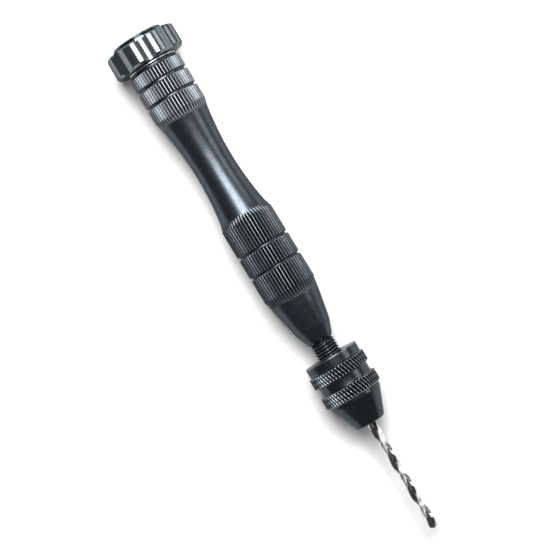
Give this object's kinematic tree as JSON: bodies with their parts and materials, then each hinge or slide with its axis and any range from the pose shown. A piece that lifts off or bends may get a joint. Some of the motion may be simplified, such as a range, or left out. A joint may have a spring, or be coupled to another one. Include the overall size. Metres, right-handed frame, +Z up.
{
  "type": "hand drill",
  "caption": "Pin-vise hand drill: knurled waisted grip, scalloped palm cap that spins on a ball bearing, keyless jaw chuck and a twist bit.",
  "frame": {"origin": "bottom centre of the bounding box, under the middle of the tool's length", "axes": "+X along the tool from the palm cap to the bit's point, +Z up, +Y to the left of +X"},
  "size_m": [0.1764, 0.0234, 0.0233],
  "materials": {
    "black_anodised_aluminium": "black anodised, satin gloss",
    "gloss_black_aluminium": "black anodised, glossy",
    "black_oxide_steel": "black oxide, satin",
    "ground_tool_steel": "ground and polished",
    "machined_steel": "machined",
    "bearing_steel": "ground and lapped",
    "pressed_brass": "pressed"
  },
  "bodies": {
    "grip": {"handle_body": "black_anodised_aluminium", "thrust_washer": "machined_steel", "pivot_screw": "machined_steel", "bearing_inner_race": "bearing_steel", "chuck_body": "black_oxide_steel"},
    "palm_cap": {"swivel_cap": "gloss_black_aluminium", "cap_disc": "gloss_black_aluminium", "bearing_outer_race": "bearing_steel"},
    "ball_ring": {"ball_cage": "pressed_brass", "bearing_ball_1": "bearing_steel", "bearing_ball_2": "bearing_steel", "bearing_ball_3": "bearing_steel", "bearing_ball_4": "bearing_steel", "bearing_ball_5": "bearing_steel", "bearing_ball_6": "bearing_steel", "bearing_ball_7": "bearing_steel"},
    "sleeve": {"chuck_sleeve": "black_oxide_steel", "split_nut_1": "machined_steel", "split_nut_2": "machined_steel"},
    "jaw_1": {"chuck_jaw_1": "machined_steel"},
    "jaw_2": {"chuck_jaw_2": "machined_steel"},
    "jaw_3": {"chuck_jaw_3": "machined_steel"},
    "bit": {"drill_bit": "ground_tool_steel"}
  },
  "joints": [
    {"name": "cap_spin", "type": "hinge", "parent": "grip", "child": "palm_cap", "pos_m": [-0.0829, 0, 0.01166], "axis": [1, 0, 0], "continuous": true},
    {"name": "cage_spin", "type": "hinge", "parent": "grip", "child": "ball_ring", "pos_m": [-0.0829, 0, 0.01166], "axis": [1, 0, 0], "continuous": true},
    {"name": "sleeve_turn", "type": "hinge", "parent": "grip", "child": "sleeve", "pos_m": [0.03805, 0, 0.01166], "axis": [1, 0, 0], "range_deg": [0, 870]},
    {"name": "jaw_slide_1", "type": "slide", "parent": "grip", "child": "jaw_1", "axis": [-0.9659, 0, 0.2588], "range_m": [0, 0.00194]},
    {"name": "jaw_slide_2", "type": "slide", "parent": "grip", "child": "jaw_2", "axis": [-0.9659, -0.2241, -0.1294], "range_m": [0, 0.00194]},
    {"name": "jaw_slide_3", "type": "slide", "parent": "grip", "child": "jaw_3", "axis": [-0.9659, 0.2241, -0.1294], "range_m": [0, 0.00194]},
    {"name": "bit_pull", "type": "slide", "parent": "grip", "child": "bit", "axis": [1, 0, 0], "range_m": [0, 0.03]}
  ],
  "couplings": [
    {"joint": "cage_spin", "follows": "cap_spin", "ratio": 0.64},
    {"joint": "jaw_slide_1", "follows": "sleeve_turn", "m_per_rad": 0.00012732},
    {"joint": "jaw_slide_2", "follows": "sleeve_turn", "m_per_rad": 0.00012732},
    {"joint": "jaw_slide_3", "follows": "sleeve_turn", "m_per_rad": 0.00012732}
  ]
}
